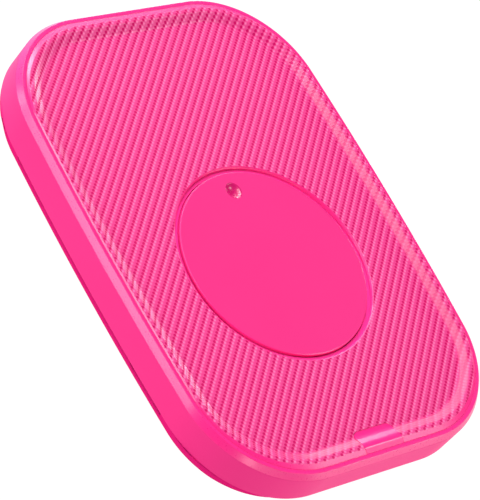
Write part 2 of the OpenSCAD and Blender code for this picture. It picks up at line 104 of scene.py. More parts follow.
def add(tree, kind, inputs=None, **settings):
    """A node of a kind with its settings, and with values, nodes or outputs on its inputs."""
    node = tree.nodes.new("ShaderNode" + kind)
    for name, value in settings.items():
        setattr(node, name, value)
    for name, value in (inputs or {}).items():
        socket = node.inputs[name]
        if isinstance(value, bpy.types.Node):
            value = next(output for output in value.outputs if output.enabled)
        if isinstance(value, bpy.types.NodeSocket):
            tree.links.new(value, socket)
        else:
            socket.default_value = value
    return node


def new_material(name):
    """An empty material and its tree."""
    material = bpy.data.materials.new(name)
    material.use_nodes = True
    material.node_tree.nodes.clear()
    return material, material.node_tree


def finish_material(tree, **shader_inputs):
    """The Principled shader with these inputs, joined to the output."""
    inputs = {name.replace("_", " "): value for name, value in shader_inputs.items()}
    shader = add(tree, "BsdfPrincipled", inputs)
    add(tree, "OutputMaterial", {"Surface": shader})


# %% [markdown]
# The studio is a white floor that glows, so that it stays white without a hard shadow, and a ring
# of soft lamps. Satin plastic shows these lamps as pale bands, so their places matter more than
# their strength. Each lamp stands where the camera sees it mirrored in one of the pad's faces: the
# far ones in the slopes of the lip, the left ones in the long chamfer, the near ones in the wall.

# %% Floor
FLOOR_SIZE = 6
FLOOR_GLOW = 1.0
bpy.ops.object.select_all(action="DESELECT")
bpy.ops.mesh.primitive_plane_add(size=FLOOR_SIZE, location=(0, 0, 0))
floor = bpy.context.object
floor.name = "floor"
material, tree = new_material("pale_studio_floor")
diffuse = add(tree, "BsdfDiffuse", {"Color": paint("#404040")})
glow = add(tree, "Emission", {"Color": paint("#ffffff"), "Strength": FLOOR_GLOW})
both = add(tree, "AddShader", {0: diffuse, 1: glow})
add(tree, "OutputMaterial", {"Surface": both})
floor.data.materials.append(material)


# %% Lamps
LAMP_DISTANCE = 1.2
WORLD_GLOW = 0.06

# Each lamp's name, its direction from the pad, its width and height in metres and its watts.
LAMPS = [
    ("overhead_softbox", (-0.234, 0.307, 0.924), (0.4, 0.4), 4.6),
    ("far_high", (-0.134, 0.594, 0.793), (0.3, 0.3), 5.0),
    ("far_key", (0.149, 0.81, 0.568), (0.34, 0.34), 6.0),
    ("far_low", (0.459, 0.835, 0.305), (0.3, 0.3), 1.8),
    ("far_strip", (0.65, 0.755, 0.13), (0.24, 0.2), 2.1),
    ("far_right_box", (0.55, 0.62, 0.56), (0.22, 0.22), 0.8),
    ("left_strip", (-0.87, 0.38, 0.318), (0.7, 0.2), 7),
    ("far_left_strip", (-0.63, 0.77, 0.12), (0.3, 0.3), 2.2),
    ("right_strip", (0.96, 0.24, 0.1), (0.18, 0.25), 2.2),
    ("right_top_box", (0.655, -0.13, 0.745), (0.18, 0.18), 2.0),
    ("near_right_strip", (0.65, -0.75, 0.12), (0.6, 0.25), 4.8),
    ("near_fill", (0.1, -0.95, 0.3), (1.2, 0.4), 3.6),
    ("near_left_strip", (-0.495, -0.84, 0.25), (0.15, 0.25), 1.5),
]


def soft_lamp(name, direction, size, power):
    """An oblong lamp that faces the pad from a direction."""
    data = bpy.data.lights.new(name, "AREA")
    data.shape = "RECTANGLE"
    data.size, data.size_y = size
    data.energy = power
    lamp = bpy.data.objects.new(name, data)
    bpy.context.scene.collection.objects.link(lamp)
    lamp.location = Vector(direction).normalized() * LAMP_DISTANCE
    lamp.rotation_euler = (-lamp.location).to_track_quat("-Z", "Y").to_euler()


for lamp_row in LAMPS:
    soft_lamp(*lamp_row)
print(len(LAMPS), "lamps")

world = bpy.data.worlds.new("studio")
world.use_nodes = True
background = world.node_tree.nodes["Background"]
background.inputs["Color"].default_value = paint("#ffffff")
background.inputs["Strength"].default_value = WORLD_GLOW
bpy.context.scene.world = world
bpy.context.scene.view_settings.view_transform = "Standard"

# %% [markdown]
# The shells are all one idea: the pad's outline carried through a profile. The outline is a rounded
# rectangle whose long sides bow out a little, and it is drawn as by hand, by spinning a point about
# the centre of each arc. Its face is then inset and lifted again and again. A profile is a short
# list of corners. Each corner has an inset at the sides, an inset at the ends, a height and a
# softness, because the lip is wider at the ends of the pad than along its sides.

# %% Outline
PAD_LOW, PAD_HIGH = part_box("side_frame")
PAD_W = (PAD_HIGH.x - PAD_LOW.x) / MM
PAD_L = (PAD_HIGH.y - PAD_LOW.y) / MM
CORNER_R = 27.7
SIDE_BOW = 0.92
CORNER_X = PAD_W / 2 - CORNER_R - SIDE_BOW
CORNER_Y = PAD_L / 2 - CORNER_R
BOW = 2 * math.atan(SIDE_BOW / CORNER_Y)
SIDE_X = PAD_W / 2 - CORNER_R - CORNER_Y / math.sin(BOW)
QUARTER = math.pi / 2 - BOW
CORNER_STEPS = 40
BOW_STEPS = 10
SOFT_STEPS = 6
SAME_PLACE = 0.01 * MM
print("pad", round(PAD_W, 2), "x", round(PAD_L, 2), "mm")
print("bow", round(math.degrees(BOW), 2), "degrees")


def arc(x, y, angle, steps):
    """Spin the selected point about a centre. The spin's own turn is clockwise, hence the axis."""
    bpy.ops.mesh.spin(steps=steps, angle=angle, center=(x * MM, y * MM, 0), axis=(0, 0, -1))


def run(length):
    """Draw a straight edge along X from the selected point."""
    bpy.ops.mesh.extrude_region_move(TRANSFORM_OT_translate={"value": (length * MM, 0, 0)})


def only(piece):
    """Select one object and make it the active one."""
    bpy.ops.object.select_all(action="DESELECT")
    piece.select_set(True)
    bpy.context.view_layer.objects.active = piece


def start_outline(name, ring):
    """A face in the pad's outline, at a ring's insets and height, left selected in edit mode."""
    side, end, height = ring[:3]
    bpy.ops.object.select_all(action="DESELECT")
    bpy.ops.mesh.primitive_plane_add(size=MM, location=(0, 0, 0))
    piece = bpy.context.object
    piece.name = piece.data.name = name
    bpy.ops.object.mode_set(mode="EDIT")
    bpy.ops.mesh.select_mode(type="VERT")
    bpy.ops.mesh.select_all(action="SELECT")
    bpy.ops.mesh.merge(type="CENTER")
    bpy.ops.transform.translate(value=((PAD_W / 2 - side) * MM, 0, 0))
    arc(SIDE_X, 0, BOW, BOW_STEPS)
    arc(CORNER_X, CORNER_Y, QUARTER, CORNER_STEPS)
    run(-2 * CORNER_X)
    arc(-CORNER_X, CORNER_Y, QUARTER, CORNER_STEPS)
    arc(-SIDE_X, 0, 2 * BOW, 2 * BOW_STEPS)
    arc(-CORNER_X, -CORNER_Y, QUARTER, CORNER_STEPS)
    run(2 * CORNER_X)
    arc(CORNER_X, -CORNER_Y, QUARTER, CORNER_STEPS)
    arc(SIDE_X, 0, BOW, BOW_STEPS)
    bpy.ops.mesh.select_all(action="SELECT")
    bpy.ops.mesh.remove_doubles(threshold=SAME_PLACE)
    bpy.ops.mesh.edge_face_add()
    along = (PAD_L / 2 - end) / (PAD_L / 2 - side)
    bpy.ops.transform.resize(value=(1, along, 1), center_override=(0, 0, 0))
    bpy.ops.transform.translate(value=(0, 0, height * MM))
    bpy.ops.mesh.select_mode(type="FACE")
    bpy.ops.mesh.select_all(action="SELECT")
    return piece


# %% Profile helpers
def soften(corners):
    """A profile with each inner corner turned into a small curve of its softness."""
    points = [Vector(corners[0][:3])]
    for before, corner, after in zip(corners, corners[1:], corners[2:]):
        here = Vector(corner[:3])
        reach = corner[3]
        start = here + (Vector(before[:3]) - here).normalized() * reach
        end = here + (Vector(after[:3]) - here).normalized() * reach
        if reach == 0:
            points.append(here)
            continue
        for i in range(SOFT_STEPS + 1):
            t = i / SOFT_STEPS
            points.append(start * (1 - t) ** 2 + here * 2 * t * (1 - t) + end * t**2)
    points.append(Vector(corners[-1][:3]))
    return points


def carry(rings):
    """Carry the selected face from each ring to the next."""
    for before, after in zip(rings, rings[1:]):
        step = max(after[0] - before[0], 0)
        if step > 0:
            bpy.ops.mesh.inset(thickness=step * MM, use_even_offset=True)
        else:
            bpy.ops.mesh.extrude_region_move()
        across = (PAD_W / 2 - after[0]) / (PAD_W / 2 - before[0] - step)
        along = (PAD_L / 2 - after[1]) / (PAD_L / 2 - before[1] - step)
        bpy.ops.transform.resize(value=(across, along, 1), center_override=(0, 0, 0))
        bpy.ops.transform.translate(value=(0, 0, (after[2] - before[2]) * MM))


def cut(piece, tool, operation="DIFFERENCE", folded=False):
    """Cut a piece with a tool, which is used up. A folded sheet may touch itself."""
    only(piece)
    modifier = piece.modifiers.new("cut", "BOOLEAN")
    modifier.operation = operation
    modifier.solver = "EXACT"
    modifier.use_self = folded
    modifier.object = tool
    bpy.ops.object.modifier_apply(modifier=modifier.name)
    bpy.data.objects.remove(tool)


def smooth(piece, angle=35):
    """Smooth shading up to an angle, with normals that keep the flat faces flat."""
    only(piece)
    bpy.ops.object.shade_smooth_by_angle(angle=math.radians(angle))
    modifier = piece.modifiers.new("flats", "WEIGHTED_NORMAL")
    modifier.keep_sharp = True
    bpy.ops.object.modifier_apply(modifier=modifier.name)


# %% [markdown]
# The side frame is a moulded ring: an upright wall, a chamfer and a narrow ledge round the top
# cover. The sharp edges of a mould are never quite sharp, so each corner has a softness of a few
# tenths of a millimetre, which catches a fine line of light. The ring is closed below by a bridge.

# %% Side frame
SEAM_Z = PAD_LOW.z / MM
LEDGE_Z = PAD_HIGH.z / MM
WALL_Z = 13.3
UNDER_Z = 12.5
CHAMFER_IN = 1.0
LIP_SIDE, LIP_END = 1.985, 2.08
LIP_GAP = 0.05
SHELF_SIDE, SHELF_END = 3.7, 3.9
SHELF_T = 1.0
SHELF_SLOPE = 1.4
WALL_T = 2.1
SEAM_GAP = 0.05
print("seam at", round(SEAM_Z, 2), "and ledge at", round(LEDGE_Z, 2))

frame_corners = [
    (0.04, 0.04, SEAM_Z - SEAM_GAP, 0),
    (0, 0, SEAM_Z, 0.02),
    (0, 0, WALL_Z, 0.2),
    (CHAMFER_IN, CHAMFER_IN, LEDGE_Z, 0.15),
    (LIP_SIDE - LIP_GAP, LIP_END - LIP_GAP, LEDGE_Z, 0.05),
    (LIP_SIDE - LIP_GAP, LIP_END - LIP_GAP, UNDER_Z, 0),
    (SHELF_SIDE, SHELF_END, UNDER_Z, 0),
    (SHELF_SIDE, SHELF_END, UNDER_Z - SHELF_T, 0),
    (WALL_T, WALL_T, UNDER_Z - SHELF_T - SHELF_SLOPE, 0),
    (WALL_T, WALL_T, SEAM_Z - SEAM_GAP, 0),
]
# The start face and the end face are the only ones with more corners than a quad: they go, and a
# bridge closes the ring.
QUAD = 4
frame_rings = soften(frame_corners)
side_frame = start_outline("side_frame_shell", frame_rings[0])
carry(frame_rings)
bpy.ops.object.mode_set(mode="OBJECT")
for face in side_frame.data.polygons:
    face.select = len(face.vertices) > QUAD
bpy.ops.object.mode_set(mode="EDIT")
bpy.ops.mesh.delete(type="FACE")
bpy.ops.mesh.select_mode(type="EDGE")
bpy.ops.mesh.select_non_manifold()
bpy.ops.mesh.bridge_edge_loops()
bpy.ops.mesh.select_all(action="SELECT")
bpy.ops.mesh.normals_make_consistent(inside=False)
bpy.ops.object.mode_set(mode="OBJECT")
print("side frame:", len(side_frame.data.polygons), "faces")


# %% USB port
ROUND_SEGMENTS = 12


def slot_tool(width, height, length, place):
    """A bar with half-round sides that lies along Y, for cutting a port."""
    bpy.ops.object.select_all(action="DESELECT")
    bpy.ops.mesh.primitive_cube_add(size=1, location=place)
    tool = bpy.context.object
    bpy.ops.object.mode_set(mode="EDIT")
    bpy.ops.transform.resize(value=(width, length, height), center_override=place)
    bpy.ops.mesh.select_all(action="DESELECT")
    bpy.ops.object.mode_set(mode="OBJECT")
    for edge in tool.data.edges:
        a, b = (tool.data.vertices[v].co for v in edge.vertices)
        edge.select = abs(a.y - b.y) > length / 2
    bpy.ops.object.mode_set(mode="EDIT")
    bpy.ops.mesh.select_mode(type="EDGE")
    bpy.ops.mesh.bevel(offset=height / 2 * 0.999, segments=ROUND_SEGMENTS, affect="EDGES")
    bpy.ops.object.mode_set(mode="OBJECT")
    return tool


usb_low, usb_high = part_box("usb_shell")
usb_middle = (usb_low + usb_high) / 2
PORT_MARGIN = 0.3 * MM
PORT_DEPTH = 10 * MM
port = slot_tool(
    usb_high.x - usb_low.x + 2 * PORT_MARGIN,
    usb_high.z - usb_low.z + 2 * PORT_MARGIN,
    PORT_DEPTH,
    (0, PAD_HIGH.y, usb_middle.z),
)
cut(side_frame, port)
smooth(side_frame)
print("side frame with its port:", len(side_frame.data.polygons), "faces")


# %% [markdown]
# The top cover is a shallow tray. Its lip has a smooth outer face, a level top and a long slope
# down to the flat face where the mouse stands. The round hole has a soft smooth rim and a step
# below it, so that no light falls through the gap round the disc. A notch takes the power button.
# Both are cut with tools, as a mould's cores would form them.

# %% Top cover
FLAT_Z = 14.0
LIP_Z = 15.4
lip_corners = [
    (LIP_SIDE, LIP_END, UNDER_Z, 0),
    (LIP_SIDE, LIP_END, LEDGE_Z, 0.05),
    (2.22, 3.47, LIP_Z, 0.2),
    (3.39, 4.42, LIP_Z, 0.6),
    (5.87, 6.89, FLAT_Z, 0.8),
    (8, 9, FLAT_Z, 0),
]
lip_rings = soften(lip_corners)
top_cover = start_outline("top_cover_tray", lip_rings[0])
bpy.ops.mesh.duplicate()
bpy.ops.mesh.flip_normals()
bpy.ops.mesh.select_all(action="INVERT")
carry(lip_rings)
bpy.ops.mesh.select_all(action="SELECT")
bpy.ops.mesh.remove_doubles(threshold=SAME_PLACE)
bpy.ops.mesh.normals_make_consistent(inside=False)
bpy.ops.object.mode_set(mode="OBJECT")
print("top cover:", len(top_cover.data.polygons), "faces")


# %% Turned shapes
ROUND_STEPS = 160
TURNED_SAME = 0.001 * MM


def turned(name, centre, corners):
    """A solid of revolution from a profile of (radius, height, softness), closed at its axis."""
    profile = soften([(r, 0, z, softness) for r, z, softness in corners])
    first = profile[0]
    bpy.ops.object.select_all(action="DESELECT")
    bpy.ops.mesh.primitive_circle_add(
        vertices=ROUND_STEPS, radius=first.x * MM, fill_type="NGON",
        location=(centre.x, centre.y, first.z * MM),
    )
    piece = bpy.context.object
    piece.name = piece.data.name = name
    only(piece)
    bpy.ops.object.transform_apply(location=True, rotation=True, scale=True)
    bpy.ops.object.mode_set(mode="EDIT")
    bpy.ops.mesh.select_mode(type="FACE")
    bpy.ops.mesh.select_all(action="SELECT")
    bpy.ops.mesh.duplicate()
    bpy.ops.mesh.select_all(action="INVERT")
    for before, after in zip(profile, profile[1:]):
        bpy.ops.mesh.extrude_region_move()
        grow = after.x / before.x
        bpy.ops.transform.resize(value=(grow, grow, 1), center_override=(centre.x, centre.y, 0))
        bpy.ops.transform.translate(value=(0, 0, (after.z - before.z) * MM))
    bpy.ops.mesh.select_all(action="SELECT")
    bpy.ops.mesh.remove_doubles(threshold=TURNED_SAME)
    bpy.ops.mesh.normals_make_consistent(inside=False)
    bpy.ops.object.mode_set(mode="OBJECT")
    return piece


# %% Round hole and its rim
disc_low, disc_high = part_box("turntable_disc")
DISC_PLACE = (disc_low + disc_high) / 2
BORE_R = 26.0
STEP_Z = 13.0
HOLE_R = 26.9
RIM_R = 27.3
RIM_H = 0.35
PAST_RIM = RIM_R + 0.6
hole = turned(
    "hole_tool", DISC_PLACE,
    [(BORE_R, UNDER_Z - 1, 0), (BORE_R, STEP_Z, 0), (HOLE_R, STEP_Z, 0.15),
     (HOLE_R, FLAT_Z - RIM_H, 0.2), (RIM_R, FLAT_Z, 0.15),
     (PAST_RIM, FLAT_Z + 0.05, 0), (PAST_RIM, FLAT_Z + 0.06, 0)],
)
cut(top_cover, hole)
print("turntable centre", [round(v / MM, 2) for v in DISC_PLACE])

# %% [markdown]
# The power button is a patch of the lip that stands free: the same profile, polished, a hair proud,
# with round inner corners. It starts as a row of edges carried along the profile, gets a thickness,
# and is cut to its outline.

# %% Power button
BUTTON_X = 0.5
BUTTON_W = 12.3
BUTTON_GAP = 0.11
BUTTON_INSET = 8.3
BUTTON_CORNER = 1.6
BUTTON_PROUD = 0.05
BUTTON_T = 0.9
BUTTON_FOOT_Z = 13.2
BUTTON_FLAT_Z = FLAT_Z + BUTTON_PROUD
TOOL_H = 6
TOOL_Z = 14
button_corners = [
    (0, LIP_END, BUTTON_FOOT_Z, 0),
    (0, LIP_END, LEDGE_Z, 0),
    (0, 3.47, LIP_Z + BUTTON_PROUD, 0.25),
    (0, 4.42, LIP_Z + BUTTON_PROUD, 0.7),
    (0, 6.95, BUTTON_FLAT_Z, 0.9),
    (0, BUTTON_INSET + 0.5, BUTTON_FLAT_Z, 0),
]


def button_outline(name, gap, outer):
    """A prism in the button's outline, grown by a gap, from an outer inset to its inner end."""
    inner = BUTTON_INSET + gap
    bpy.ops.object.select_all(action="DESELECT")
    bpy.ops.mesh.primitive_cube_add(size=1, location=(0, 0, 0))
    tool = bpy.context.object
    tool.name = name
    bpy.ops.object.mode_set(mode="EDIT")
    size = ((BUTTON_W + 2 * gap) * MM, (inner - outer) * MM, TOOL_H * MM)
    bpy.ops.transform.resize(value=size, center_override=(0, 0, 0))
    middle = ((inner + outer) / 2 - PAD_L / 2) * MM
    bpy.ops.transform.translate(value=(BUTTON_X * MM, middle, TOOL_Z * MM))
    bpy.ops.object.mode_set(mode="OBJECT")
    for edge in tool.data.edges:
        a, b = (tool.data.vertices[v].co for v in edge.vertices)
        edge.select = abs(a.z - b.z) > MM and a.y > middle
    bpy.ops.object.mode_set(mode="EDIT")
    bpy.ops.mesh.select_mode(type="EDGE")
    bpy.ops.mesh.bevel(offset=BUTTON_CORNER * MM, segments=ROUND_SEGMENTS, affect="EDGES")
    bpy.ops.object.mode_set(mode="OBJECT")
    return tool


cut(top_cover, button_outline("notch_tool", BUTTON_GAP, -1))
smooth(top_cover)
print("top cover with its hole and notch:", len(top_cover.data.polygons), "faces")

# %% Button patch
button_rings = soften(button_corners)
bpy.ops.object.select_all(action="DESELECT")
bpy.ops.mesh.primitive_plane_add(size=1, location=(0, 0, 0))
button = bpy.context.object
button.name = button.data.name = "power_button_patch"
bpy.ops.object.mode_set(mode="EDIT")
bpy.ops.mesh.select_all(action="DESELECT")
bpy.ops.object.mode_set(mode="OBJECT")
for vertex in button.data.vertices:
    vertex.select = vertex.co.y > 0
bpy.ops.object.mode_set(mode="EDIT")
bpy.ops.mesh.select_mode(type="VERT")
bpy.ops.mesh.delete(type="VERT")
bpy.ops.mesh.select_all(action="SELECT")
bpy.ops.transform.resize(value=((BUTTON_W + 1) * MM, 1, 1), center_override=(0, 0, 0))
first = button_rings[0]
place = (BUTTON_X * MM, 0.5 + (first[1] - PAD_L / 2) * MM, first[2] * MM)
bpy.ops.transform.translate(value=place)
for before, after in zip(button_rings, button_rings[1:]):
    move = (0, (after[1] - before[1]) * MM, (after[2] - before[2]) * MM)
    bpy.ops.mesh.extrude_region_move(TRANSFORM_OT_translate={"value": move})
bpy.ops.mesh.select_all(action="SELECT")
bpy.ops.mesh.normals_make_consistent(inside=False)
bpy.ops.object.mode_set(mode="OBJECT")
if sum(face.normal.z for face in button.data.polygons) < 0:
    button.data.flip_normals()
modifier = button.modifiers.new("wall", "SOLIDIFY")
modifier.thickness = BUTTON_T * MM
modifier.offset = -1
only(button)
bpy.ops.object.modifier_apply(modifier=modifier.name)
cut(button, button_outline("button_tool", 0, -1), "INTERSECT", folded=True)
smooth(button)
button_top = max(vertex.co.z for vertex in button.data.vertices) / MM
print("button:", len(button.data.polygons), "faces, its top at", round(button_top, 3))


# %% [markdown]
# The disc and the bottom cover have all their bosses, bores and recesses in the frame already. Each
# is a copy of its node, merged into one skin and then cut to a finer outside: the disc by a turned
# tool with a soft edge, and the bottom cover by the bowed outline with a soft lower edge. That
# outline is scaled out from the lower edge, which makes it wider than the pad at its corners, so
# the bottom cover keeps the frame's own corners.

# %% Copies of frame nodes
def copy_node(node, name):
    """A merged copy of a frame node, as a piece of its own."""
    piece = NODES[node].copy()
    piece.data = NODES[node].data.copy()
    piece.name = piece.data.name = name
    bpy.context.scene.collection.objects.link(piece)
    only(piece)
    bpy.ops.object.mode_set(mode="EDIT")
    bpy.ops.mesh.select_all(action="SELECT")
    bpy.ops.mesh.remove_doubles(threshold=TURNED_SAME)
    bpy.ops.object.mode_set(mode="OBJECT")
    return piece


# %% Turntable disc
DISC_R = 25.8
DISC_Z = 13.8
EDGE = 0.35
ROOM = 3
TRIM = 0.01
FLANGE_Z = 12.6
TOOL_R = 40
BOSS_R, BOSS_Z = 10, 5
DISC_ANGLE = 25
disc = copy_node("turntable_disc", "turntable_plate")
outside = turned(
    "disc_tool", DISC_PLACE,
    [(BOSS_R, BOSS_Z, 0), (TOOL_R, BOSS_Z, 0), (TOOL_R, FLANGE_Z, 0), (DISC_R - TRIM, FLANGE_Z, 0),
     (DISC_R - TRIM, DISC_Z - TRIM / 2, EDGE), (DISC_R - ROOM, DISC_Z - TRIM / 2, 0)],
)
cut(disc, outside, "INTERSECT")
smooth(disc, DISC_ANGLE)
print("disc:", len(disc.data.polygons), "faces")

# %% Bottom cover
bottom = copy_node("bottom_cover", "bottom_cover_shell")
INNER = WALL_T + SEAM_GAP
INNER_TOP_Z = 13
bottom_rings = soften([
    (3.4, 3.4, 0.45, 0),
    (2.72, 2.72, 0.62, 0.12),
    (0.08, 0.08, SEAM_Z + SEAM_GAP, 0),
    (INNER, INNER, SEAM_Z + SEAM_GAP, 0),
    (INNER, INNER, INNER_TOP_Z, 0),
])
outside = start_outline("bottom_tool", bottom_rings[0])
bpy.ops.mesh.duplicate()
bpy.ops.mesh.flip_normals()
bpy.ops.mesh.select_all(action="INVERT")
carry(bottom_rings)
bpy.ops.mesh.select_all(action="SELECT")
bpy.ops.mesh.remove_doubles(threshold=SAME_PLACE)
bpy.ops.mesh.normals_make_consistent(inside=False)
bpy.ops.object.mode_set(mode="OBJECT")
cut(bottom, outside, "INTERSECT")
smooth(bottom)
print("bottom cover:", len(bottom.data.polygons), "faces")

# %% [markdown]
# The pad's own plastic is ABS, moulded in one deep pink. The mould's fine satin blurs what it
# reflects, so its lamps show as soft bands and not as sharp ones. A real moulding is never one flat
# colour either: the pigment drifts a little over a few centimetres, and the satin has a fine grain.
# One recipe serves all the moulded pink pieces, with its own colour and gloss for each. The bottom
# cover and the dimple are painted darker as shade, and the groove paler as bounced light.

# %% Moulded plastic recipe
ABS_IOR = 1.53
DRIFT_MM = 25


def object_place(tree):
    """The place of a point in the object, in metres."""
    return add(tree, "TexCoord").outputs["Object"]


def moulded(name, deep, pale, gloss, specular, grain_mm, grain_height):
    """Pigmented ABS: slow drift of the pigment, fine grain in the gloss and in the surface."""
    material, tree = new_material(name)
    place = object_place(tree)
    drift = add(tree, "TexNoise", {"Vector": place, "Scale": 1 / (DRIFT_MM * MM), "Detail": 1.0})
    colour = add(tree, "Mix", {0: drift, 6: paint(deep), 7: paint(pale)}, data_type="RGBA")
    grain = add(tree, "TexNoise", {"Vector": place, "Scale": 1 / (grain_mm * MM), "Detail": 2.0})
    rough = add(tree, "MapRange", {"Value": grain, "To Min": gloss[0], "To Max": gloss[1]})
    skin = add(tree, "Bump", {"Height": grain, "Distance": grain_height * MM, "Strength": 1.0})
    finish_material(
        tree, Base_Color=colour, Roughness=rough, Normal=skin,
        Specular_IOR_Level=specular, IOR=ABS_IOR,
    )
    return material


# %% Pink mouldings
# Satin ABS, moulded against a blasted steel mould: even, softly glossy walls with broad highlights.
pink_satin = moulded("satin_moulded_abs", "#ea247c", "#ee2981", (0.46, 0.54), 0.15, 0.4, 0.0006)
# The same ABS where the mould is stoned fine: the chamfer, the ledge and the rims shine more.
pink_edge = moulded("stoned_fine_abs", "#f92482", "#fb2a88", (0.26, 0.3), 0.5, 0.4, 0.0001)
# The same ABS in the bottom cover: a coarser mould face dulls it, and it is painted darker as shade.
bottom_shaded_satin = moulded("satin_abs_bottom_shaded", "#d81a6e", "#db1e72", (0.55, 0.6), 0.0, 0.4, 0.001)
# The disc's fine satin lets a mouse's sensor see it: nearly no shine, a very even colour.
disc_satin = moulded("fine_satin_abs", "#e2277a", "#e42c7e", (0.4, 0.46), 0.22, 0.3, 0.0008)
# Polished ABS, from a finely stoned and buffed mould: the button shows a lamp as one clear band.
pink_gloss = moulded("polished_abs", "#f92482", "#fb2a88", (0.22, 0.26), 0.5, 0.6, 0.0002)
# The same in the dimple, painted darker as its shade; the polish gathers one broad highlight.
dimple_shaded_gloss = moulded("polished_abs_shaded_hollow", "#cc0e66", "#d0146a", (0.25, 0.29), 0.5, 0.6, 0.0002)
# The same ABS in the groove round the disc, painted paler as bounced light: its shade stays pink.
groove_bounce_pink = moulded("groove_abs_painted_bounce", "#f8389a", "#fa40a0", (0.4, 0.46), 0.05, 0.4, 0.0004)

# %% [markdown]
# The top cover wears the texture of a twill cloth, cut in its mould: every thread passes over two
# others and under the next two, and each row is shifted one thread to the side, which gives the
# diagonal ribs. Threads lie 0.69 mm apart across the pad and 0.67 mm along it. A repeat is four
# threads wide. In the rows' own coordinates each repeat has one deep pit, where a thread dives, and
# one knuckle beside it, where the next thread bends over. Both are drawn in the height, and in the
# colour as painted light: the pits darker as painted shade, the knuckles paler as a painted
# highlight, and the ground darker between the ribs as painted shade. On the lip's slope at the
# right and near sides the lamps' highlight washes the texture out, so it is drawn faint there, on
# a deeper pink.

# %% Twill texture
THREAD_X = 0.6886
THREAD_Y = 0.66986
REPEAT = 4
# Each mark's shift along the row, centre across the repeat, half width, half length and hardness.
# The pits are drawn darker as painted shade and the knuckles paler as a painted highlight, besides
# the height.
PIT_AND_SHADE = (0.06, 0.94, 0.74, 0.95, 0.5)
KNUCKLE_AND_HIGHLIGHT = (0.44, 1.93, 0.8, 0.75, 0.15)


def threads(tree, across, along, shift, centre):
    """Distances from a mark's centre, in threads, across the repeat and along the row."""
    row = add(tree, "Math", {0: along, 1: shift}, operation="ADD")
    number = add(tree, "Math", {0: row}, operation="FLOOR")
    v = add(tree, "Math", {0: add(tree, "Math", {0: row}, operation="FRACT"), 1: 0.5},
            operation="SUBTRACT")
    side = add(tree, "Math", {0: across, 1: number}, operation="SUBTRACT")
    side = add(tree, "Math", {0: side, 1: REPEAT / 2 - centre}, operation="ADD")
    side = add(tree, "Math", {0: side, 1: REPEAT}, operation="FLOORED_MODULO")
    u = add(tree, "Math", {0: side, 1: REPEAT / 2}, operation="SUBTRACT")
    return u, v


def blot(tree, u, v, half_u, half_v, hard):
    """A soft oval mark: 1 in its middle and 0 outside."""
    place = add(tree, "CombineXYZ", {0: u, 1: v, 2: 0.0})
    shrink = (1 / half_u, 1 / half_v, 0)
    scaled = add(tree, "VectorMath", {0: place, 1: shrink}, operation="MULTIPLY")
    far = add(tree, "VectorMath", {0: scaled}, operation="LENGTH").outputs["Value"]
    return add(tree, "MapRange", {"Value": far, "From Min": 1.0, "From Max": hard,
                                  "To Min": 0.0, "To Max": 1.0}, interpolation_type="SMOOTHSTEP")


# %% Where the texture is faint
SLOPE_Z = (FLAT_Z + LIP_Z) / 2
SLOPE_CORE, SLOPE_EDGE = 0.45, 0.66
SIDE_START, SIDE_FULL = 5, 20
FAINT = 0.25


def weave_strength(tree, parts):
    """1 where the texture is full, FAINT where a highlight washes out the right and near lip slopes.
    """
    rise = add(tree, "Math", {0: parts.outputs["Z"], 1: SLOPE_Z * MM}, operation="SUBTRACT")
    rise = add(tree, "Math", {0: rise}, operation="ABSOLUTE")
    diagonal = add(tree, "Math", {0: parts.outputs["Y"], 1: -PAD_W / PAD_L, 2: parts.outputs["X"]},
                   operation="MULTIPLY_ADD")
    # The right and near slopes catch the lamps' highlight, which washes the texture out: it is drawn
    # faint there.
    faint = add(tree, "MapRange", {"Value": diagonal, "From Min": SIDE_START * MM,
                                   "From Max": SIDE_FULL * MM, "To Min": 1.0, "To Max": FAINT})
    return add(tree, "MapRange", {"Value": rise, "From Min": SLOPE_CORE * MM,
                                  "From Max": SLOPE_EDGE * MM, "To Min": faint, "To Max": 1.0})


# %% Twill recipe
WEAVE_DRIFT_MM = 20
RIB_SHADE = 0.22
SLOPE_DEEPEN = 0.4
RIB_HEIGHT = 0.12
WEAVE_DEPTH_MM = 0.05


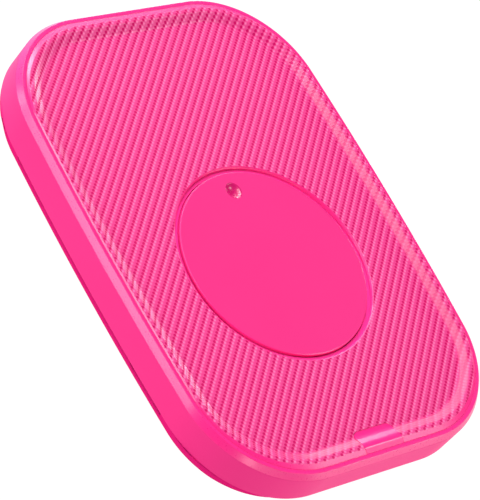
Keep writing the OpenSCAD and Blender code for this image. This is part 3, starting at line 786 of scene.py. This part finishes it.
def twill(name, ground, pit_shade, knuckle_highlight):
    """Satin ABS with the moulded twill, painted shade in its pits and ribs, and painted highlights.
    """
    material, tree = new_material(name)
    place = object_place(tree)
    parts = add(tree, "SeparateXYZ", {"Vector": place})
    across = add(tree, "Math", {0: parts.outputs["X"], 1: THREAD_X * MM}, operation="DIVIDE")
    along = add(tree, "Math", {0: parts.outputs["Y"], 1: THREAD_Y * MM}, operation="DIVIDE")
    woven = weave_strength(tree, parts)
    pit_shade_mark = blot(tree, *threads(tree, across, along, *PIT_AND_SHADE[:2]), *PIT_AND_SHADE[2:])
    pit_shade_mark = add(tree, "Math", {0: pit_shade_mark, 1: woven}, operation="MULTIPLY")
    knuckle_highlight_mark = blot(tree, *threads(tree, across, along, *KNUCKLE_AND_HIGHLIGHT[:2]), *KNUCKLE_AND_HIGHLIGHT[2:])
    knuckle_highlight_mark = add(tree, "Math", {0: knuckle_highlight_mark, 1: woven}, operation="MULTIPLY")
    rib = add(tree, "Math", {0: along, 1: 2 * math.pi}, operation="MULTIPLY")
    rib = add(tree, "Math", {0: rib}, operation="COSINE")

    # The colour: painted rib shade, a deeper pink on the washed-out slope, then the painted marks.
    between = add(tree, "MapRange", {"Value": rib, "From Min": -1.0, "From Max": 1.0,
                                     "To Min": 0.0, "To Max": RIB_SHADE})
    slope_deepen = add(tree, "MapRange", {"Value": woven, "From Min": FAINT, "From Max": 1.0,
                                    "To Min": SLOPE_DEEPEN, "To Max": 0.0})
    deep = add(tree, "Math", {0: between, 1: slope_deepen}, operation="ADD")
    colour = add(tree, "Mix", {0: deep, 6: paint(ground), 7: paint(pit_shade)}, data_type="RGBA")
    colour = add(tree, "Mix", {0: knuckle_highlight_mark, 6: colour, 7: paint(knuckle_highlight)}, data_type="RGBA")
    colour = add(tree, "Mix", {0: pit_shade_mark, 6: colour, 7: paint(pit_shade)}, data_type="RGBA")
    drift = add(tree, "TexNoise", {
        "Vector": place, "Scale": 1 / (WEAVE_DRIFT_MM * MM), "Detail": 2.0,
    })
    value = add(tree, "MapRange", {"Value": drift, "To Min": 0.98, "To Max": 1.02})
    colour = add(tree, "HueSaturation", {"Value": value, "Color": colour})

    # The relief: knuckles up, pits down; pits are rougher and shine less, their gloss tinted as
    # painted shade.
    height = add(tree, "Math", {0: knuckle_highlight_mark, 1: pit_shade_mark}, operation="SUBTRACT")
    height = add(tree, "Math", {0: rib, 1: RIB_HEIGHT, 2: height}, operation="MULTIPLY_ADD")
    relief = add(tree, "Bump", {
        "Height": height, "Distance": WEAVE_DEPTH_MM * MM, "Strength": 0.5,
    })
    rough = add(tree, "MapRange", {"Value": pit_shade_mark, "To Min": 0.34, "To Max": 0.7})
    shine = add(tree, "Mix", {0: pit_shade_mark, 6: paint("#ffffff"), 7: paint(knuckle_highlight)},
                data_type="RGBA")
    finish_material(
        tree, Base_Color=colour, Roughness=rough, Normal=relief, Specular_Tint=shine,
        Specular_IOR_Level=0.42, IOR=ABS_IOR,
    )
    return material


# The ground colour, then the painted shade in the pits and the painted highlight on the knuckles.
woven_pink = twill("twill_textured_abs", "#e6418b", "#c6045d", "#f376ae")

# %% [markdown]
# Inside, each piece gets the finish of the real part. Metals keep the default IOR and differ in
# colour, roughness and grain. One recipe serves them all, since each is a fine grain of two close
# colours: stretching the grain along an axis turns it into the lines of a lathe or a drawing die.

# %% Inner finishes
def grained(name, deep, pale, grain_mm, gloss, height_mm, metallic=0.0, stretch=(1, 1, 1), **more):
    """A finish of two close colours in a fine grain, which also varies the gloss and the height."""
    material, tree = new_material(name)
    place = add(tree, "Mapping", {"Vector": object_place(tree), "Scale": stretch})
    grain = add(tree, "TexNoise", {"Vector": place, "Scale": 1 / (grain_mm * MM), "Detail": 3.0})
    colour = add(tree, "Mix", {0: grain, 6: paint(deep), 7: paint(pale)}, data_type="RGBA")
    rough = add(tree, "MapRange", {"Value": grain, "To Min": gloss[0], "To Max": gloss[1]})
    skin = add(tree, "Bump", {"Height": grain, "Distance": height_mm * MM, "Strength": 1.0})
    finish_material(
        tree, Base_Color=colour, Roughness=rough, Normal=skin, Metallic=metallic, **more
    )
    return material


# Each comment gives the common name, how the surface was made, and what the eye gets from it.
finishes = {
    # Silicone rubber, pressed in a sand-blasted mould: matt black with a faint sheen at its edges.
    "foot_rubber": grained("matt_silicone_rubber", "#17171a", "#202024", 0.25, (0.75, 0.9), 0.006),
    # Zinc-plated steel, cold headed: bluish grey, softly glossy.
    "screw_steel": grained("zinc_plated_steel", "#a9adb4", "#c3c6cc", 0.3, (0.3, 0.42), 0.002, 1.0),
    # Ground dowel steel: bright, with fine rings round the pin.
    "pin_steel": grained(
        "ground_pin_steel", "#b4b5b8", "#d2d3d5", 0.2, (0.14, 0.24), 0.001, 1.0, (0.2, 0.2, 4)),
    # Sintered bronze, pressed from powder and oiled: brownish, with dark pores.
    "sintered_bronze": grained(
        "oiled_sintered_bronze", "#7a5a2c", "#a9844a", 0.12, (0.35, 0.6), 0.006, 1.0),
    # Free-cutting brass, hobbed: yellow, bright, with cutter lines along the teeth.
    "pinion_brass": grained(
        "hobbed_brass", "#b98d3c", "#d8b468", 0.15, (0.18, 0.3), 0.001, 1.0, (3, 3, 0.3)),
    # Natural nylon, moulded without pigment: milky cream that lets some light in.
    "natural_nylon": grained(
        "natural_nylon", "#e6e0cf", "#efeadd", 1.5, (0.38, 0.5), 0.003,
        Subsurface_Weight=0.25, Subsurface_Radius=(0.001, 0.0009, 0.0007), Subsurface_Scale=1.0),
    # Glass-filled nylon in black: dull, with a slight bloom of fibres.
    "black_plastic": grained("black_filled_nylon", "#1d1d1f", "#29292c", 0.2, (0.45, 0.6), 0.003),
    # Epoxy moulding compound: dark grey, finely gritty.
    "chip_epoxy": grained("chip_epoxy", "#232427", "#2f3034", 0.08, (0.55, 0.7), 0.004),
    # Nickel-plated sheet steel, deep drawn: warm silver with faint drawing lines up the walls.
    "plated_steel": grained(
        "nickel_plated_sheet", "#b3b1ab", "#cfcdc7", 0.5, (0.2, 0.32), 0.001, 1.0, (2, 2, 0.2)),
    # Enamelled copper wire, wound in layers: red-brown metal under varnish, in fine turns.
    "coil_winding": grained(
        "enamelled_copper_wire", "#8c3a1a", "#c4622f", 0.12, (0.2, 0.35), 0.01, 1.0, (0.3, 0.3, 2),
        Coat_Weight=0.6, Coat_Roughness=0.12),
    # Ferrite, pressed and sintered: charcoal grey, slightly sparkling.
    "ferrite": grained("sintered_ferrite", "#2b2c2f", "#3b3c40", 0.1, (0.45, 0.6), 0.004, 0.3),
    # Ceramic chip parts: tan bodies, matt from firing.
    "ceramic_parts": grained("fired_chip_ceramic", "#a08462", "#bb9f7b", 0.3, (0.5, 0.65), 0.003),
    # PVC insulation, extruded in grey: soft gloss with a faint ripple along the wire.
    "grey_wire": grained("grey_pvc_insulation", "#a9a9a9", "#bcbcbc", 0.8, (0.35, 0.45), 0.004),
    # PVC insulation, extruded in red.
    "red_wire": grained("red_pvc_insulation", "#b3202a", "#c52c35", 0.8, (0.35, 0.45), 0.004),
}

# %% Circuit board
# Solder mask over copper on glass epoxy: glossy green, paler where copper tracks lie under it, and
# the tracks run square to each other. The track width of 0.5 mm is at the coarse end of real ones.
material, tree = new_material("green_solder_mask")
TRACK_PITCH = 1.6
TRACK_W = 0.5
MASK_RELIEF_MM = 0.03
tracks = add(tree, "TexBrick", {
    "Vector": object_place(tree), "Color1": paint("#0f5a2c"), "Color2": paint("#0c4c25"),
    "Mortar": paint("#2a7d45"), "Scale": 1.0, "Mortar Size": TRACK_W / 2 * MM, "Mortar Smooth": 0.2,
    "Brick Width": 3 * TRACK_PITCH * MM, "Row Height": TRACK_PITCH * MM,
})
relief = add(tree, "Bump", {
    "Height": tracks.outputs["Fac"], "Distance": MASK_RELIEF_MM * MM, "Strength": 1.0,
})
finish_material(
    tree, Base_Color=tracks.outputs["Color"], Roughness=0.28, Normal=relief,
    Coat_Weight=0.5, Coat_Roughness=0.1,
)
finishes["circuit_board"] = material

# %% [markdown]
# The record names a slot for every node, so each node takes the finish of its slot. The five outer
# nodes are hidden behind their new pieces, and still get the same plastic.

# %% Finishes on the frame
finishes["pink_shell"] = pink_satin
finishes["bottom_shell"] = bottom_shaded_satin
finishes["satin_disc"] = disc_satin
finishes["glossy_button"] = pink_gloss
finishes["textured_cover"] = woven_pink
slots = {part["node"]: part["material_slot"] for part in frame["record"]["subparts"]}
for name, node in NODES.items():
    node.data.materials.clear()
    node.data.materials.append(finishes[slots[name]])
print(len(NODES), "nodes in", len(set(slots.values())), "finishes")


# %% Finishes on the new pieces
def dress(piece, *materials):
    """Give a piece its materials, the first one everywhere."""
    piece.data.materials.clear()
    for material in materials:
        piece.data.materials.append(material)
    for face in piece.data.polygons:
        face.material_index = 0


dress(side_frame, pink_satin, pink_edge)
dress(bottom, bottom_shaded_satin)
dress(button, pink_gloss)
dress(top_cover, woven_pink, pink_edge, groove_bounce_pink)
dress(disc, disc_satin, pink_edge, dimple_shaded_gloss, groove_bounce_pink)

# %% [markdown]
# One moulding doesn't shine alike all over, because its mould is stoned finer in some places. The
# groove is painted paler as bounced light, and the dimple darker as shade. Each piece has its first
# finish everywhere so far. The faces that need another are now picked by their place and their
# slope, which is the upward part of a face's normal: 1 is level and 0 is upright.

# %% Chamfer and ledge
LEVEL, STEEP, UPRIGHT = 0.97, 0.5, 0.1
SLACK = 0.05 * MM
EDGE_FINISH = 1
for face in side_frame.data.polygons:
    if face.center.z > WALL_Z * MM + SLACK:
        face.material_index = EDGE_FINISH

# %% Smooth faces of the cover
# The texture ends at the rim of the hole and at the lip's smooth outer face.
COVER_GROOVE_FINISH = 2
GROOVE_TOP = (FLAT_Z - RIM_H - 0.1) * MM
LIP_TOP = (LIP_Z - 0.04) * MM
smooth_faces = 0
for face in top_cover.data.polygons:
    corners = [top_cover.data.vertices[index].co for index in face.vertices]
    on_rim = all((corner - DISC_PLACE).xy.length < RIM_R * MM + SLACK for corner in corners)
    outer = face.center.z < LIP_TOP and face.normal.z < LEVEL
    inward = face.normal.xy.dot(face.center.xy) < 0
    if on_rim or face.normal.z < STEEP or (outer and not inward):
        # Faces low in the hole take the groove's colour, painted paler as bounced light.
        in_groove = on_rim and face.center.z < GROOVE_TOP
        face.material_index = COVER_GROOVE_FINISH if in_groove else EDGE_FINISH
        smooth_faces += 1
print("smooth faces on the cover:", smooth_faces)

# %% Faces of the disc
# The dimple is polished and painted darker as shade, the edge is fine, and the side is the groove's.
DIMPLE_FINISH, DISC_GROOVE_FINISH = 2, 3
DIMPLE_OUT, DIMPLE_R = 20.7, 2.35
DIMPLE_LOW, DIMPLE_HIGH = 12.5 * MM, (DISC_Z - 0.02) * MM
RIM_START = 25 * MM
dimple_place = DISC_PLACE.xy + Vector((0, DIMPLE_OUT * MM))
for face in disc.data.polygons:
    at_dimple = (face.center.xy - dimple_place).length < DIMPLE_R * MM
    at_rim = (face.center - DISC_PLACE).xy.length > RIM_START
    if at_dimple and DIMPLE_LOW < face.center.z < DIMPLE_HIGH:
        face.material_index = DIMPLE_FINISH
    elif at_rim and UPRIGHT < face.normal.z < LEVEL:
        face.material_index = EDGE_FINISH
    # The upright side takes the groove's colour, painted paler as bounced light.
    elif at_rim and face.normal.z < UPRIGHT:
        face.material_index = DISC_GROOVE_FINISH
dimple_faces = sum(face.material_index == DIMPLE_FINISH for face in disc.data.polygons)
print("polished faces in the dimple:", dimple_faces)

# %% Each piece on its body
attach(side_frame, "base")
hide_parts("side_frame")
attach(top_cover, "base")
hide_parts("top_cover")
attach(bottom, "base")
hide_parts("bottom_cover")
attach(button, "button")
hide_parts("power_button")
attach(disc, "turntable")
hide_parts("turntable_disc")
